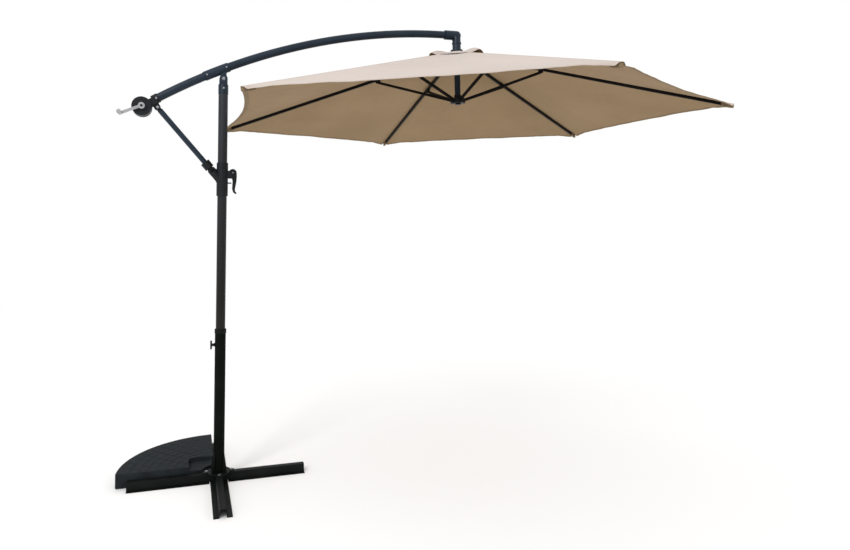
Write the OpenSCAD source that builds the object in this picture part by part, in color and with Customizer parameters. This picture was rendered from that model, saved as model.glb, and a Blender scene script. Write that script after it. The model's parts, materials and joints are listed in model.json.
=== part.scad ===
// Cantilever parasol: a cross base with a weight, a two-part post, a curved arm
// with a winch, and a six-rib canopy that folds like an umbrella.
// Frame: the post stands on the origin, +Z is up and +X points to the canopy.

/* [Base] */
// Tip to tip length of each bar of the cross
base_span = 890; // [700:10:1100]
// Whole width of a bar, flanges included
bar_width = 87; // [80:1:110]
// Width of a bar's raised middle at its foot
hat_width = 40; // [36:1:46]
// Width of a bar's raised middle at its top
hat_top = 30; // [26:1:34]
// Height of a bar's raised middle
hat_height = 42; // [36:1:50]
// Steel thickness of the bars
bar_sheet = 3; // [2:0.5:4]
// Outer radius of the quarter-round weight
weight_radius = 500; // [420:10:520]
// Thickness of the weight
weight_thick = 72; // [60:1:90]

/* [Post] */
// Outer diameter of the lower post
lower_od = 55; // [54:0.5:60]
// Height of the lower post's top
lower_top = 790; // [700:10:850]
// Outer diameter of the upper post
upper_od = 47.5; // [46:0.5:48]
// Height of the arm's hinge above the ground
hinge_z = 2092; // [2060:1:2110]
// Height of the slider's bottom edge
slider_z = 1486; // [1460:1:1510]
// Length of the slider
slider_len = 172; // [150:1:190]

/* [Arm] */
// Radius of the arm's bend
bend_r = 3189; // [3150:1:3220]
// Outer diameter of the arm tube
arm_od = 41; // [38:1:46]
// Outer diameter of the strut tube
strut_od = 27; // [24:1:30]

/* [Canopy] */
// Length of a rib from its pin to its tip
rib_len = 1506; // [1300:1:1600]
// Slope of an open rib below the canopy's own level
rib_slope = 14.5; // [12:0.5:18]
// Distance along a rib from its pin to its stretcher bracket
bracket_at = 465; // [440:5:520]
// Tilt of the whole canopy, its far side up
canopy_tilt = 2.5; // [0:0.1:5]
// How far a panel's hem is drawn in at its middle
hem_draw = 45; // [20:1:70]
// How far a panel sags between its ribs
panel_sag = 15; // [5:1:25]

/* [Hidden] */
$fn = 64;

post_grey = "#2b2e31";
arm_grey = "#2e323b";
plastic_black = "#1b1c1e";
silver = "#c9cbce";
steel = "#8d9093";
concrete_grey = "#33373a";
fabric_beige = "#c9b49c";
cord_white = "#e6e3da";

// Base
half_span = base_span / 2;
cross_gap = 48;
bolt_at = 62;
plate_thick = 6;
plate_top = hat_height + plate_thick;
gusset_high = 110;
gusset_out = 26;
gusset_thick = 4;
plate_r = 60;
plate_lug_r = 18;
base_bolt_r = 4;
base_bolt_len = 20;
base_head_r = 8;
base_head_high = 6;
base_nut_high = 7;
bolt_hole_r = 4.2;
cross_play = 0.3;
cross_from = hat_width / 2 + 4;
weight_floor = bar_sheet;
weight_top = weight_floor + weight_thick;
weight_gap = 0.8;
notch_out = 150;
notch_floor = 54;
post_clear_r = 84;
groove_wide = 3;
groove_deep = 1.6;

// Post
lower_wall = 2;
upper_wall = 1.5;
bush_gap = 0.08;
bush_high = 60;
upper_bottom = 420;
screw_z = 711;
screw_r = 5;
screw_boss_r = 9;
screw_boss_out = 6;
collar_high = 18;
collar_lip = 3;
collar_gap = 0.4;
collar_r = lower_od / 2 + 2;
head_wall = 1.5;
ear_in = 15.5;
ear_thick = 7;
ear_r = 20;
head_bottom = hinge_z - 78;
head_top = hinge_z - 30;
post_top = head_top - 6;
head_bolt_z = hinge_z - 50;
head_bolt_r = 4;
hinge_r = 6;
hinge_head_r = 10;
bolt_play = 0.1;
small_head_r = 6.5;
bolt_long = 80;

// Arm: an arc in the XZ plane, its angles measured back from the top of the bend
bend_x = 1371;
bend_z = -735;
arm_low = 32.3;
arm_end = canopy_tilt;
arm_r = arm_od / 2;
arm_wall = 1.5;
arm_past = 0.6;
saddle_r = 24;
saddle_low = 27.35;
saddle_high = 24.95;
saddle_bolt_at = [saddle_low - 0.25, saddle_high + 0.25];
saddle_bolt_r = 3;
saddle_head_r = 5.5;
bracket_wall = 3.5;
bracket_bolt_at = arm_low - 0.2;
bracket_bolt_r = 4;
end_x = bend_x - bend_r * sin(arm_end);
end_z = bend_z + bend_r * cos(arm_end);
knee_out = 73.5;
knee = [end_x + knee_out * cos(canopy_tilt), 0, end_z + knee_out * sin(canopy_tilt)];

// Winch and strut
winch = [-390, 0, 1921];
drum_r = 47;
drum_half = 34;
cheek_in = 20;
cheek_thick = 4;
fork_out = 17.5;
fork_thick = 7;
spool_pitch = 19.27;
cord_r = 2;
cord_sides = 8;
cord_inset = 8;
cord_ease = 5;
axle_r = 6;
axle_long = 80;
crank_angle = 204;
crank_len = 106;
crank_out = drum_half + 10;
crank_high = 14;
knob_pin_r = 3;
strut_top = [-317, 0, 1923];
strut_foot = [-52, 0, 1616];
strut_dx = strut_foot[0] - strut_top[0];
strut_dz = strut_foot[2] - strut_top[2];
strut_len = sqrt(strut_dx * strut_dx + strut_dz * strut_dz);
strut_fall = atan2(-strut_dz, strut_dx);
strut_wall = 1.5;
strut_tube_from = 24;
open_pin_r = 4;
pin_head_r = 8;
open_hole_r = 9.5;
tongue_half = 9.5;
tongue_r = 12;
socket_r = 24;
socket_rim = 16;
socket_top = 55;
cup_r = 27.5;
cup_web = 5.5;

// Slider
slider_r = 28.75;
liner_wall = 2;
liner_gap = 0.3;
boss_r = 22.5;
boss_long = 75;
boss_slot = tongue_half + 0.8;
pin_half = 16.5;
lever_pivot = [52, 0, 1608];
lever_head = 20;
lever_half = 8.5;
lever_pin_r = 3;
lever_ear_thick = 6;
lever_play = 0.5;

// Canopy
hub_r = 30;
crown_drop = 110;
elbow_drop = crown_drop - 19;
elbow_r = 26.5;
flange_r = 36;
tube_in = 32;
pulley_pin_r = 3;
pulley_r = 17.5;
pulley_half = 6;
crown_hub_r = 40;
crown_hub_low = -13;
crown_hub_high = 4.5;
crown_slot_in = 20.5;
runner_hub_r = 43;
runner_hub_low = -15;
runner_hub_high = 12;
runner_slot_in = 22.5;
hub_pin_len = 24;
slot_play = 0.4;
rib_w = 12;
rib_h = 16;
rib_wall = 1;
rib_cheek = 2;
bracket_drop = 18;
stretcher_w = 11;
stretcher_h = 14;
stretcher_len = sqrt(bracket_at * bracket_at + bracket_drop * bracket_drop);
pivot_gap = 2 * (bracket_at * sin(rib_slope) + bracket_drop * cos(rib_slope));
pin_r = 2.5;
running = 0.05;
tube_r = 17;
tube_wall = 2;
pulley_pitch = 14.45;
fabric_thick = 1.2;
fabric_lift = rib_h / 2 + 1.6;
fabric_in = 21;
fabric_out = hub_r + rib_len * cos(rib_slope) + 7.6;
seam_gap = 0.2;
rows = 8;
cols = 4;

// ---- Frames and small helpers ----

// Azimuth of rib k, so that one straight hem faces the post
function rib_azimuth(k) = 150 + 60 * k;

// A cylinder along Y, centred on its middle
module across(r, len) {
    rotate([90, 0, 0])
        cylinder(r = r, h = len, center = true);
}

// A ring of the given radii standing on Z
module ring(outer, inner, low, high) {
    translate([0, 0, low])
        difference() {
            cylinder(r = outer, h = high - low);
            translate([0, 0, -1])
                cylinder(r = inner, h = high - low + 2);
        }
}

// A 2D shape swept along the arm's bend between two angles from its top
module along_arm(from, to) {
    translate([bend_x, 0, bend_z])
        rotate([90, 0, 0])
            rotate([0, 0, 90 + to])
                rotate_extrude(angle = from - to, $fn = 96)
                    translate([bend_r, 0])
                        children();
}

// Local frame at an angle along the arm: X runs up the arm, Z points away from the bend
module arm_frame(angle) {
    translate([bend_x, 0, bend_z])
        rotate([0, -angle, 0])
            translate([0, 0, bend_r])
                children();
}

// Local frame at the elbow's knee: X continues the arm, Z is the canopy's axis
module knee_frame() {
    translate(knee)
        rotate([0, -canopy_tilt, 0])
            children();
}

module crown_frame() {
    knee_frame()
        translate([0, 0, -crown_drop])
            children();
}

// Local frame at rib k's pin: X points outwards
module rib_frame(k) {
    crown_frame()
        rotate([0, 0, rib_azimuth(k)])
            translate([hub_r, 0, 0])
                children();
}

// Local frame at the strut's upper pivot: X runs down the strut
module strut_frame() {
    translate(strut_top)
        rotate([0, strut_fall, 0])
            children();
}

// A hexagon-headed bolt along Z, its head below z = 0 and its shank above it
module hex_bolt(r, len, head_r, head_high) {
    cylinder(r = r, h = len);
    translate([0, 0, -head_high])
        cylinder(r = head_r, h = head_high, $fn = 6);
}

module hex_nut(r, nut_r, high) {
    difference() {
        cylinder(r = nut_r, h = high, $fn = 6);
        translate([0, 0, -1])
            cylinder(r = r, h = high + 2);
    }
}

// ---- Base ----

// Cross-section of a base bar: a raised middle with leaning sides and a flange on each side
module hat_section() {
    foot = hat_width / 2;
    top = hat_top / 2;
    edge = bar_width / 2;
    inner_top = hat_height - bar_sheet;
    polygon([[-edge, 0], [-foot + bar_sheet, 0], [-top + bar_sheet, inner_top],
        [top - bar_sheet, inner_top], [foot - bar_sheet, 0], [edge, 0],
        [edge, bar_sheet], [foot, bar_sheet], [top, hat_height], [-top, hat_height],
        [-foot, bar_sheet], [-edge, bar_sheet]]);
}

// The bar that runs through the crossing, its flanges cut away where the other one passes
module base_bar_long() {
    color(post_grey)
        difference() {
            rotate([90, 0, 90])
                linear_extrude(base_span, center = true)
                    hat_section();
            translate([-cross_gap, -bar_width, -1])
                cube([2 * cross_gap, 2 * bar_width, bar_sheet + 1 + cross_play]);
            for (x = [-bolt_at, bolt_at])
                translate([x, 0, 0])
                    cylinder(r = bolt_hole_r, h = 2 * hat_height);
        }
}

// The bar that passes below, pressed flat in the middle
module base_bar_cross() {
    color(post_grey)
        difference() {
            union() {
                for (side = [0, 180])
                    rotate([90, 0, side])
                        translate([0, 0, cross_from])
                            linear_extrude(half_span - cross_from)
                                hat_section();
                translate([-bar_width / 2, -bar_width / 2, 0])
                    cube([bar_width, bar_width, bar_sheet]);
            }
            for (y = [-bolt_at, bolt_at])
                translate([0, y, 0])
                    cylinder(r = bolt_hole_r, h = 2 * hat_height);
        }
}

// The plate under the post, with a gusset towards each bar
module foot_plate() {
    color(post_grey)
        difference() {
            union() {
                translate([0, 0, hat_height])
                    cylinder(r = plate_r, h = plate_thick);
                for (turn = [0 : 90 : 270])
                    rotate([0, 0, turn])
                        translate([bolt_at, 0, hat_height])
                            cylinder(r = plate_lug_r, h = plate_thick);
                for (turn = [45 : 90 : 315])
                    rotate([0, 0, turn])
                        gusset();
            }
            for (turn = [0 : 90 : 270])
                rotate([0, 0, turn])
                    translate([bolt_at, 0, 0])
                        cylinder(r = bolt_hole_r, h = 2 * plate_top);
            translate([0, 0, plate_top])
                cylinder(r = lower_od / 2, h = gusset_high + 1);
        }
}

// A tapered web that braces the post
module gusset() {
    inner = lower_od / 2 - 3;
    outer = lower_od / 2;
    foot_edge = 6;
    top_out = 5;
    translate([0, gusset_thick / 2, plate_top])
        rotate([90, 0, 0])
            linear_extrude(gusset_thick)
                polygon([[inner, -1], [outer + gusset_out, -1], [outer + gusset_out, foot_edge],
                    [outer + top_out, gusset_high], [inner, gusset_high]]);
}

module base_bolts() {
    color(steel)
        for (turn = [0 : 90 : 270])
            rotate([0, 0, turn])
                translate([bolt_at, 0, plate_top])
                    rotate([180, 0, 0])
                        hex_bolt(base_bolt_r, base_bolt_len, base_head_r, base_head_high);
}

module base_nuts() {
    color(steel)
        for (turn = [0 : 90 : 270])
            rotate([0, 0, turn])
                translate([bolt_at, 0, hat_height - bar_sheet - base_nut_high])
                    hex_nut(base_bolt_r, base_head_r, base_nut_high);
}

// Quarter-round weight between two bars, with a stepped corner by the post
module base_weight() {
    inset = hat_width / 2 + weight_gap;
    ring_count = 7;
    ring_first = 175;
    ring_step = 43;
    color(concrete_grey)
        difference() {
            intersection() {
                translate([0, 0, weight_floor])
                    cylinder(r = weight_radius, h = weight_thick, $fn = 128);
                translate([-2 * weight_radius - inset, inset, 0])
                    cube([2 * weight_radius, 2 * weight_radius, 2 * weight_top]);
            }
            weight_notch(inset);
            // Shallow rings and spokes that divide the top into stones
            for (n = [0 : ring_count - 1])
                stone_ring(ring_first + n * ring_step);
            for (n = [0 : ring_count - 1])
                stone_joints(ring_first + n * ring_step, ring_step, n, inset);
        }
}

module stone_ring(inner) {
    ring(inner + groove_wide, inner, weight_top - groove_deep, weight_top + 1);
}

// The radial joints of one ring of stones, staggered from ring to ring
module stone_joints(inner, step, n, inset) {
    count = 5 + n;
    for (i = [0 : count])
        rotate([0, 0, 90 + (i + (n % 2) / 2) * 90 / (count + 0.5)])
            translate([inner + 1, -groove_wide / 2, weight_top - groove_deep])
                cube([step + 1, groove_wide, groove_wide]);
}

// The stepped corner: low over the foot plate, open round the post
module weight_notch(inset) {
    corner = 34;
    translate([-notch_out, 0, notch_floor])
        cube([notch_out, notch_out - corner, weight_thick]);
    translate([-notch_out + corner, 0, notch_floor])
        cube([notch_out, notch_out, weight_thick]);
    translate([-notch_out + corner, notch_out - corner, notch_floor])
        cylinder(r = corner, h = weight_thick);
    translate([0, 0, -1])
        cylinder(r = post_clear_r, h = 2 * weight_top);
}

// ---- Post ----

// The lower tube, with the welded boss that the thumbscrew turns in
module lower_post() {
    color(post_grey)
        difference() {
            union() {
                translate([0, 0, plate_top])
                    cylinder(r = lower_od / 2, h = lower_top - plate_top);
                translate([-lower_od / 2 - screw_boss_out, 0, screw_z])
                    rotate([0, 90, 0])
                        cylinder(r = screw_boss_r, h = 2 * screw_boss_out);
            }
            translate([0, 0, plate_top - 1])
                cylinder(r = lower_od / 2 - lower_wall, h = lower_top);
            translate([0, 0, screw_z])
                rotate([0, -90, 0])
                    cylinder(r = screw_r + running, h = lower_od);
        }
}

// The plastic ring that finishes the top of the lower post
module post_collar() {
    color(plastic_black)
        union() {
            ring(collar_r, lower_od / 2, lower_top - collar_high, lower_top + collar_lip);
            ring(collar_r, upper_od / 2 + collar_gap, lower_top, lower_top + collar_lip);
        }
}

// Two plastic bushes that guide the upper post inside the lower one
module post_bush() {
    outer = lower_od / 2 - lower_wall;
    bore = upper_od / 2 + bush_gap;
    stop_high = 8;
    color(plastic_black)
        union() {
            ring(outer, bore, lower_top - bush_high, lower_top);
            ring(outer, bore, upper_bottom, upper_bottom + bush_high);
            ring(outer, upper_od / 2 - 8, upper_bottom - stop_high, upper_bottom - 0.1);
        }
}

module thumbscrew() {
    wing = 17;
    wing_thick = 9;
    wing_end_r = 6;
    neck_r = 8;
    neck_at = lower_od / 2 + 8;
    wing_at = lower_od / 2 + 14;
    color(plastic_black)
        translate([0, 0, screw_z])
            rotate([0, -90, 0]) {
                translate([0, 0, upper_od / 2 + collar_gap])
                    cylinder(r = screw_r, h = 24);
                translate([0, 0, neck_at])
                    cylinder(r = neck_r, h = 12);
                translate([-wing, -wing_thick / 2, wing_at])
                    cube([2 * wing, wing_thick, wing_thick]);
                for (x = [-wing, wing])
                    translate([x, 0, wing_at])
                        cylinder(r = wing_end_r, h = wing_thick);
            }
}

module upper_post() {
    color(post_grey)
        difference() {
            translate([0, 0, upper_bottom])
                cylinder(r = upper_od / 2, h = post_top - upper_bottom);
            translate([0, 0, upper_bottom - 1])
                cylinder(r = upper_od / 2 - upper_wall, h = hinge_z);
            translate([0, 0, head_bolt_z])
                across(head_bolt_r + bolt_play, 2 * upper_od);
        }
}

// The cap on the post, with two ears for the arm's hinge
module post_head() {
    color(arm_grey)
        difference() {
            union() {
                translate([0, 0, head_bottom])
                    cylinder(r = upper_od / 2 + head_wall, h = head_top - head_bottom);
                for (side = [-1, 1])
                    translate([0, side * (ear_in + ear_thick / 2), 0])
                        ear();
            }
            translate([0, 0, head_bottom - 1])
                cylinder(r = upper_od / 2, h = post_top - head_bottom + 1);
            translate([0, 0, hinge_z])
                across(hinge_r, bolt_long);
            translate([0, 0, head_bolt_z])
                across(head_bolt_r + bolt_play, 2 * upper_od);
        }
}

module ear() {
    sunk = 3;
    translate([0, 0, hinge_z])
        across(ear_r, ear_thick);
    translate([-ear_r, -ear_thick / 2, head_top - sunk])
        cube([2 * ear_r, ear_thick, hinge_z - head_top + sunk]);
}

// A cross bolt with a domed head and a nut, centred on Y
module cross_bolt(r, half, head_r) {
    head_high = 4;
    dome = 0.7;
    nut_high = 5;
    across(r, 2 * half);
    translate([0, -half, 0])
        rotate([90, 0, 0])
            cylinder(r1 = head_r, r2 = head_r * dome, h = head_high);
    translate([0, half, 0])
        rotate([-90, 0, 0])
            cylinder(r = head_r, h = nut_high, $fn = 6);
}

module head_bolt() {
    color(steel)
        translate([0, 0, head_bolt_z])
            cross_bolt(head_bolt_r, upper_od / 2 + head_wall, small_head_r);
}

module hinge_bolt() {
    color(steel)
        translate([0, 0, hinge_z])
            cross_bolt(hinge_r, ear_in + ear_thick, hinge_head_r);
}

// ---- Slider and its lock ----

module slider_body() {
    stop_in = 20;
    stop_long = 26;
    stop_drop = 57;
    stop_thick = 6;
    color(plastic_black)
        difference() {
            union() {
                translate([0, 0, slider_z])
                    cylinder(r = slider_r, h = slider_len);
                strut_boss();
                for (side = [-1, 1])
                    translate([0, side * (lever_half + lever_ear_thick / 2 + lever_play), 0])
                        lever_ear();
                // Stop that the closed lever rests against
                translate([stop_in, -lever_half, lever_pivot[2] - stop_drop])
                    cube([stop_long, 2 * lever_half, stop_thick]);
            }
            translate([0, 0, slider_z - 1])
                cylinder(r = upper_od / 2 + liner_wall, h = slider_len + 2);
            translate(strut_foot)
                across(open_pin_r, bolt_long);
            translate(lever_pivot)
                across(lever_pin_r, bolt_long);
        }
}

// Forked boss with a round end, which points up the strut and holds its pin
module strut_boss() {
    slot_past = tongue_r + 7;
    slot_back = 60;
    recess_r = 8.8;
    recess_long = 20;
    translate(strut_foot)
        difference() {
            union() {
                sphere(r = boss_r);
                rotate([0, strut_fall + 90, 0])
                    cylinder(r = boss_r, h = boss_long);
            }
            translate([-slot_back, -boss_slot, -slot_back])
                cube([slot_back + slot_past, 2 * boss_slot, 2 * slot_back]);
            for (side = [-1, 1])
                translate([0, side * (pin_half + recess_long / 2), 0])
                    across(recess_r, recess_long);
        }
}

// Cheek beside the lever's head
module lever_ear() {
    ear_from = 20;
    ear_round = 10;
    ear_drop = 30;
    translate(lever_pivot)
        across(ear_round, lever_ear_thick);
    translate([ear_from, -lever_ear_thick / 2, lever_pivot[2] - ear_drop])
        cube([lever_pivot[0] - ear_from, lever_ear_thick, ear_drop + ear_round]);
}

// Plastic sleeve between the slider and the post
module slider_liner() {
    color(plastic_black)
        ring(upper_od / 2 + liner_wall, upper_od / 2 + liner_gap, slider_z, slider_z + slider_len);
}

module lever_pin() {
    color(steel)
        translate(lever_pivot)
            across(lever_pin_r, 2 * (lever_half + lever_play + lever_ear_thick) + 4);
}

// Points of an arc for a polygon
function arc(cx, cy, r, from, to, n) =
    [for (i = [0 : n]) [cx + r * cos(from + (to - from) * i / n), cy + r * sin(from + (to - from) * i / n)]];

// Hooked lever: a round head on its pin and a grip that hangs down and curls out
module lock_lever() {
    color(plastic_black)
        difference() {
            union() {
                translate(lever_pivot)
                    across(lever_head, 2 * lever_half);
                translate([lever_pivot[0], lever_half, lever_pivot[2]])
                    rotate([90, 0, 0])
                        linear_extrude(2 * lever_half)
                            polygon([[20, 2], [21, -18], [19, -46], [12, -84], [13, -96], [21, -105],
                                [17, -111], [4, -102], [-2, -84], [0, -46], [-4, -16], [4, 2]]);
            }
            translate(lever_pivot)
                across(lever_pin_r + running, bolt_long);
        }
}

// ---- Strut ----

module strut_tube() {
    tube_to = strut_len - cup_r - cup_web;
    color(arm_grey)
        strut_frame()
            rotate([0, 90, 0])
                difference() {
                    translate([0, 0, strut_tube_from])
                        cylinder(r = strut_od / 2, h = tube_to - strut_tube_from);
                    cylinder(r = strut_od / 2 - strut_wall, h = strut_len);
                }
}

// Plug and tongue at the strut's upper end
module strut_eye() {
    eye_r = 12;
    eye_wide = 19;
    neck_high = 20;
    neck_to = 18;
    shoulder_from = 16;
    plug_long = 30;
    color(plastic_black)
        strut_frame()
            difference() {
                union() {
                    across(eye_r, eye_wide);
                    translate([0, -eye_wide / 2, -neck_high / 2])
                        cube([neck_to, eye_wide, neck_high]);
                    translate([shoulder_from, 0, 0])
                        rotate([0, 90, 0])
                            cylinder(r = strut_od / 2, h = strut_tube_from - shoulder_from);
                    translate([strut_tube_from, 0, 0])
                        rotate([0, 90, 0])
                            cylinder(r = strut_od / 2 - strut_wall, h = plug_long);
                }
                across(open_pin_r + running, 2 * eye_wide);
            }
}

// Sleeve on the strut's lower end: a cup over the boss, and a tongue that goes into its fork
module strut_socket() {
    tongue_long = cup_r + 4;
    color(plastic_black)
        strut_frame()
            translate([strut_len, 0, 0])
                difference() {
                    union() {
                        difference() {
                            translate([-socket_top, 0, 0])
                                rotate([0, 90, 0])
                                    cylinder(r = socket_r, h = socket_top - socket_rim);
                            sphere(r = cup_r);
                        }
                        translate([-tongue_long, -tongue_half, -tongue_r])
                            cube([tongue_long, 2 * tongue_half, 2 * tongue_r]);
                        across(tongue_r, 2 * tongue_half);
                    }
                    translate([-socket_top - 1, 0, 0])
                        rotate([0, 90, 0])
                            cylinder(r = strut_od / 2, h = socket_top + 1 - cup_r - cup_web);
                    across(open_hole_r, 40);
                }
}

module strut_bolt() {
    color(steel)
        translate(strut_top)
            cross_bolt(open_pin_r, fork_out, pin_head_r);
}

module slider_pin() {
    color(steel)
        translate(strut_foot)
            cross_bolt(open_pin_r, pin_half, pin_head_r);
}

// ---- Arm ----

module arm_tube() {
    color(arm_grey)
        difference() {
            along_arm(arm_low, arm_end - arm_past)
                difference() {
                    circle(r = arm_r);
                    circle(r = arm_r - arm_wall);
                }
            for (angle = saddle_bolt_at)
                arm_frame(angle)
                    across(saddle_bolt_r + bolt_play, bolt_long);
            arm_frame(bracket_bolt_at)
                across(bracket_bolt_r, bolt_long);
        }
}

// Sleeve on the arm with the lug that hangs between the post's ears
module arm_saddle() {
    lug_half = ear_in - 0.5;
    lug_r = 17;
    neck = 15;
    neck_high = 42;
    color(arm_grey)
        difference() {
            union() {
                along_arm(saddle_low, saddle_high)
                    circle(r = saddle_r);
                translate([0, 0, hinge_z])
                    across(lug_r, 2 * lug_half);
                translate([-neck, -lug_half, hinge_z])
                    cube([2 * neck, 2 * lug_half, neck_high]);
            }
            along_arm(saddle_low + 1, saddle_high - 1)
                circle(r = arm_r);
            translate([0, 0, hinge_z])
                across(hinge_r + running, bolt_long);
            for (angle = saddle_bolt_at)
                arm_frame(angle)
                    across(saddle_bolt_r + bolt_play, bolt_long);
        }
}

module saddle_bolts() {
    color(steel)
        for (angle = saddle_bolt_at)
            arm_frame(angle)
                cross_bolt(saddle_bolt_r, saddle_r, saddle_head_r);
}

// Casting at the arm's low end: a sleeve, two bearing cheeks and the strut's fork
module winch_bracket() {
    sleeve_r = arm_r + bracket_wall;
    sleeve_from = -8;
    sleeve_long = 32;
    cheek_r = drum_r - 3.4;
    cheek_from = [-60, -24];
    cheek_size = [66, 36];
    fork_r = 14;
    fork_from = [-22, -44];
    fork_size = 30;
    throat_r = 12;
    color(plastic_black)
        difference() {
            union() {
                arm_frame(arm_low)
                    translate([sleeve_from, 0, 0])
                        rotate([0, 90, 0])
                            cylinder(r = sleeve_r, h = sleeve_long);
                for (side = [-1, 1])
                    translate([0, side * (cheek_in + cheek_thick / 2), 0]) {
                        translate(winch)
                            across(cheek_r, cheek_thick);
                        arm_frame(arm_low)
                            translate([cheek_from[0], -cheek_thick / 2, cheek_from[1]])
                                cube([cheek_size[0], cheek_thick, cheek_size[1]]);
                    }
                for (side = [-1, 1])
                    translate([0, side * (fork_out - fork_thick / 2), 0]) {
                        translate(strut_top)
                            across(fork_r, fork_thick);
                        arm_frame(arm_low)
                            translate([fork_from[0], -fork_thick / 2, fork_from[1]])
                                cube([fork_size, fork_thick, fork_size]);
                    }
            }
            arm_frame(arm_low)
                rotate([0, 90, 0])
                    cylinder(r = arm_r, h = 80);
            arm_frame(arm_low)
                translate([-throat_r, 0, 0])
                    rotate([0, 90, 0])
                        cylinder(r = throat_r, h = 40);
            translate(winch)
                across(axle_r + running, bolt_long);
            translate(strut_top)
                across(open_pin_r, bolt_long);
            arm_frame(bracket_bolt_at)
                across(bracket_bolt_r, bolt_long);
        }
}

module bracket_bolt() {
    color(steel)
        arm_frame(bracket_bolt_at)
            cross_bolt(bracket_bolt_r, arm_r + bracket_wall, small_head_r);
}

// Half of the winch housing; side is -1 towards the crank and 1 on the far side
module winch_cover(side) {
    split_gap = 0.2;
    cover_wall = 3;
    cavity = drum_half - cover_wall;
    mouth_from = 20;
    mouth_half = cheek_in + cheek_thick + 0.5;
    mouth_wide = 44;
    axle_hole = side < 0 ? axle_r + 2 : 1.5;
    color(plastic_black)
        translate(winch)
            difference() {
                translate([0, side * (drum_half + split_gap) / 2, 0])
                    across(drum_r, drum_half - split_gap);
                translate([0, side * (cavity - 2) / 2, 0])
                    across(drum_r - cover_wall, cavity + 2);
                // Mouth for the bracket's cheeks
                rotate([0, -arm_low, 0])
                    translate([mouth_from, -mouth_half, -mouth_wide / 2])
                        cube([60, 2 * mouth_half, mouth_wide]);
                translate([0, side * drum_half, 0])
                    across(axle_hole, 20);
            }
}

module winch_cover_near() {
    winch_cover(-1);
}

module winch_cover_far() {
    winch_cover(1);
}

// The spool and its axle, which the crank turns
module cord_spool() {
    core = spool_pitch - cord_r;
    spool_long = 36;
    flange = 36;
    flange_thick = 3;
    axle_shift = -14;
    color(plastic_black)
        translate(winch)
            union() {
                across(core, spool_long);
                for (side = [-1, 1])
                    translate([0, side * (spool_long - flange_thick) / 2, 0])
                        across(flange, flange_thick);
                translate([0, axle_shift, 0])
                    across(axle_r, axle_long);
            }
}

// Cranked handle arm on the axle's near end
module crank_arm() {
    boss_round = 16;
    bar_thick = 7;
    bar_front = 6;
    end_r = 9;
    color(silver)
        translate([winch[0], -crank_out, winch[2]])
            rotate([0, 180 - crank_angle, 0])
                difference() {
                    union() {
                        across(boss_round, crank_high);
                        translate([-crank_len, -bar_front, -crank_high / 2])
                            cube([crank_len, bar_thick, crank_high]);
                        translate([-crank_len, bar_thick / 2 - bar_front, 0])
                            across(end_r, bar_thick);
                    }
                    translate([0, 20, 0])
                        across(axle_r, 60);
                    translate([-crank_len, 0, 0])
                        across(knob_pin_r, 40);
                }
}

// Grip that spins on the end of the crank
module crank_knob() {
    grip_r = 9.5;
    grip_at = -33;
    grip_long = 53;
    cap_r = 11;
    cap_at = -61;
    cap_thick = 4;
    keeper_r = 5;
    keeper_thick = 6;
    color(silver)
        translate([winch[0], -crank_out, winch[2]])
            rotate([0, 180 - crank_angle, 0])
                translate([-crank_len, 0, 0]) {
                    translate([0, grip_at, 0])
                        across(grip_r, grip_long);
                    translate([0, cap_at, 0])
                        across(cap_r, cap_thick);
                    across(knob_pin_r - running, 14);
                    translate([0, 4, 0])
                        across(keeper_r, keeper_thick);
                }
}

// ---- Elbow ----

module elbow() {
    sleeve_deep = 36;
    throat_r = 8;
    drop_r = 6;
    wheel_room = [18.6, 14];
    collar_at = -50;
    collar_thick = 8;
    flange_thick = 6;
    color(arm_grey)
        knee_frame()
            difference() {
                union() {
                    translate([-knee_out, 0, 0])
                        rotate([0, 90, 0])
                            cylinder(r = elbow_r, h = knee_out);
                    sphere(r = elbow_r);
                    translate([0, 0, -elbow_drop])
                        cylinder(r = elbow_r - 2, h = elbow_drop);
                    translate([0, 0, collar_at])
                        cylinder(r = elbow_r + 1, h = collar_thick);
                    translate([0, 0, -elbow_drop])
                        cylinder(r = flange_r, h = flange_thick);
                }
                translate([-knee_out - 1, 0, 0])
                    rotate([0, 90, 0])
                        cylinder(r = arm_r + 0.3, h = sleeve_deep);
                translate([-knee_out, 0, 0])
                    rotate([0, 90, 0])
                        cylinder(r = throat_r, h = knee_out - 10);
                translate([-pulley_pitch, 0, -pulley_pitch])
                    across(wheel_room[0], wheel_room[1]);
                translate([0, 0, -elbow_drop - 1])
                    cylinder(r = tube_r, h = elbow_drop + 1 - tube_in);
                translate([0, 0, -40])
                    cylinder(r = drop_r, h = 30);
                translate([-pulley_pitch, 0, -pulley_pitch])
                    across(pulley_pin_r, bolt_long);
            }
}

module pulley_pin() {
    color(steel)
        knee_frame()
            translate([-pulley_pitch, 0, -pulley_pitch])
                across(pulley_pin_r, 44);
}

module elbow_pulley() {
    groove_r = 12;
    groove_half = 1.6;
    rim_in = 4.4;
    bore = pulley_pin_r + running;
    color(plastic_black)
        knee_frame()
            translate([-pulley_pitch, 0, -pulley_pitch])
                rotate([90, 0, 0])
                    rotate_extrude($fn = 64)
                        polygon([[bore, -pulley_half], [pulley_r, -pulley_half], [pulley_r, -rim_in],
                            [groove_r, -groove_half], [groove_r, groove_half], [pulley_r, rim_in],
                            [pulley_r, pulley_half], [bore, pulley_half]]);
}

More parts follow.
